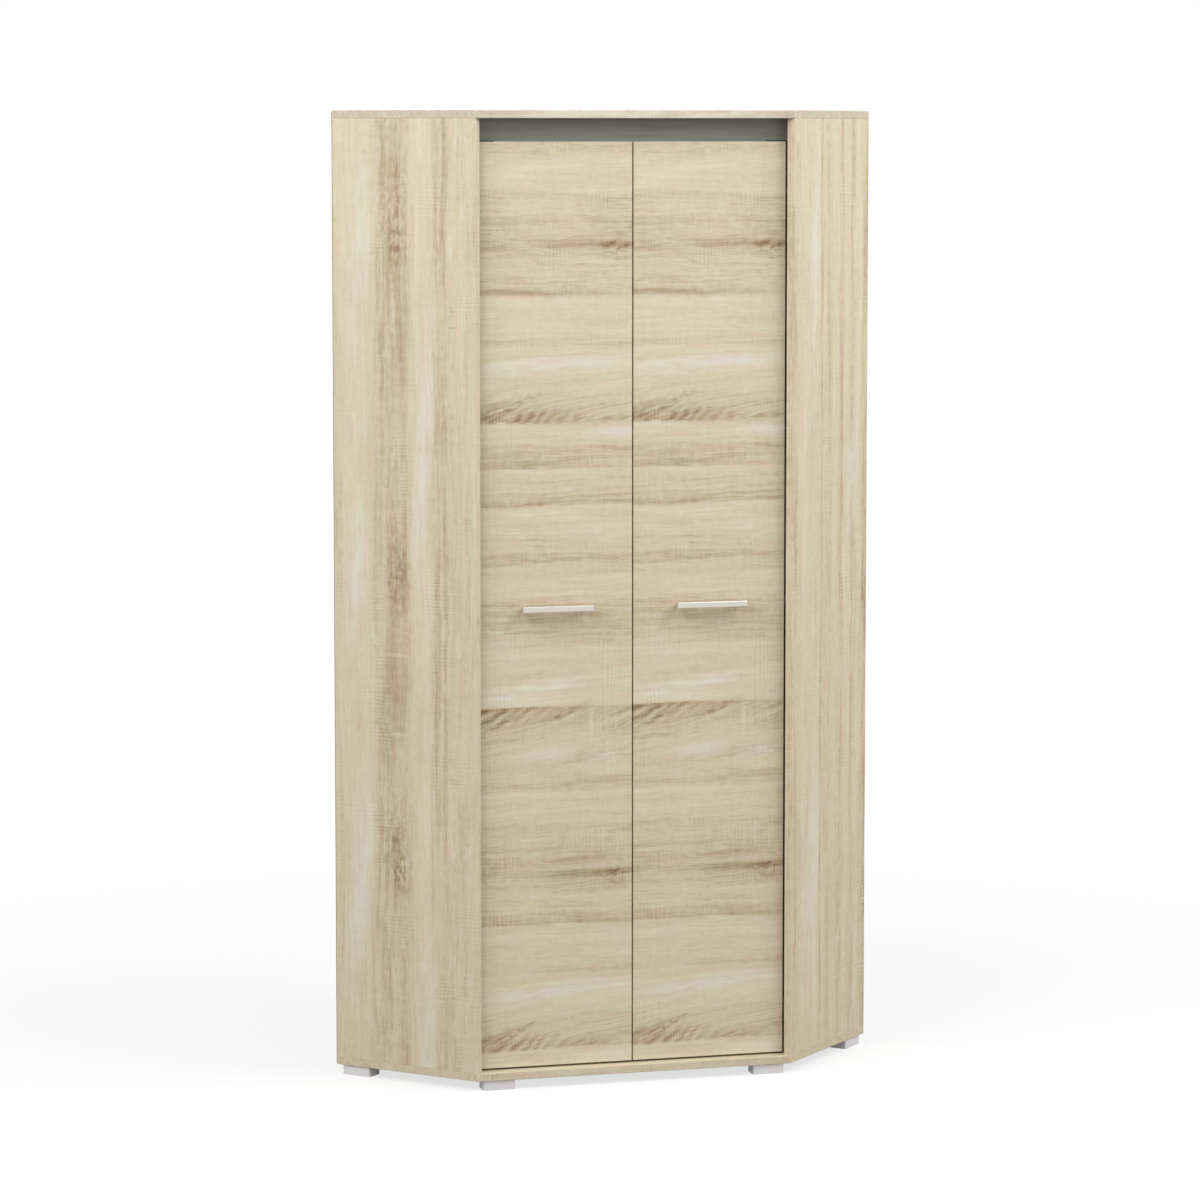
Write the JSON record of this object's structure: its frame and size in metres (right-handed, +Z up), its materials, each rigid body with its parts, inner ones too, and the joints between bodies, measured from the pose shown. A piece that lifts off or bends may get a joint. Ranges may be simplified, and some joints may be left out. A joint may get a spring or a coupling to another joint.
{
  "type": "corner wardrobe",
  "caption": "Corner wardrobe with a diagonal front: inset hinged doors with bar handles under a recessed fascia, hat shelf and hanging rail inside, block feet.",
  "frame": {"origin": "on the floor, under the middle of the overall box", "axes": "+Z up; the doors face -Y; +X to the right as seen from the front; the rear corner points to +Y"},
  "size_m": [1.1286, 0.805, 1.95],
  "materials": {
    "oak_laminate": "pale sawn oak decor",
    "grey_laminate": "matt dark grey decor",
    "hardboard": "raw fibreboard",
    "pine": "planed softwood",
    "beech": "fluted beech",
    "silver_handle": "satin",
    "foot_plastic": "silver grey",
    "hinge_steel": "nickel plated",
    "zinc_steel": "zinc plated",
    "rail_chrome": "polished",
    "cap_plastic": "grey moulded",
    "bumper_rubber": "clear soft"
  },
  "bodies": {
    "carcass": {"top_panel": "oak_laminate", "bottom_panel": "oak_laminate", "left_side_panel": "oak_laminate", "right_side_panel": "oak_laminate", "hat_shelf": "oak_laminate", "fascia_rail": "grey_laminate", "rear_corner_post": "pine", "left_back_panel": "hardboard", "right_back_panel": "hardboard", "left_front_foot": "foot_plastic", "right_front_foot": "foot_plastic", "left_rear_foot": "foot_plastic", "right_rear_foot": "foot_plastic", "corner_foot": "foot_plastic", "left_hinge_arm_1": "hinge_steel", "left_hinge_plate_1": "hinge_steel", "left_hinge_arm_2": "hinge_steel", "left_hinge_plate_2": "hinge_steel", "left_hinge_arm_3": "hinge_steel", "left_hinge_plate_3": "hinge_steel", "rail_bracket_left": "rail_chrome", "right_hinge_arm_1": "hinge_steel", "right_hinge_plate_1": "hinge_steel", "right_hinge_arm_2": "hinge_steel", "right_hinge_plate_2": "hinge_steel", "right_hinge_arm_3": "hinge_steel", "right_hinge_plate_3": "hinge_steel", "rail_bracket_right": "rail_chrome", "hanging_rail": "rail_chrome", "rail_end_caps": "cap_plastic", "wooden_dowels": "beech", "door_bumpers": "bumper_rubber", "cam_locks": "zinc_steel", "cam_bolts": "zinc_steel", "carcass_screws": "zinc_steel", "arm_clamp_screws": "zinc_steel", "shelf_pins": "zinc_steel"},
    "left_door": {"left_door_panel": "oak_laminate", "left_handle": "silver_handle", "left_hinge_cup_1": "hinge_steel", "left_hinge_cup_2": "hinge_steel", "left_hinge_cup_3": "hinge_steel", "left_hinge_pins": "hinge_steel", "left_handle_screws": "zinc_steel", "left_cup_screws": "zinc_steel"},
    "right_door": {"right_door_panel": "oak_laminate", "right_handle": "silver_handle", "right_hinge_cup_1": "hinge_steel", "right_hinge_cup_2": "hinge_steel", "right_hinge_cup_3": "hinge_steel", "right_hinge_pins": "hinge_steel", "right_handle_screws": "zinc_steel", "right_cup_screws": "zinc_steel"}
  },
  "joints": [
    {"name": "left_door_swing", "type": "hinge", "parent": "carcass", "child": "left_door", "pos_m": [-0.30108, -0.36749, 0.964], "axis": [0, 0, -1], "range_deg": [0, 100]},
    {"name": "right_door_swing", "type": "hinge", "parent": "carcass", "child": "right_door", "pos_m": [0.30108, -0.36749, 0.964], "axis": [0, 0, 1], "range_deg": [0, 100]}
  ]
}
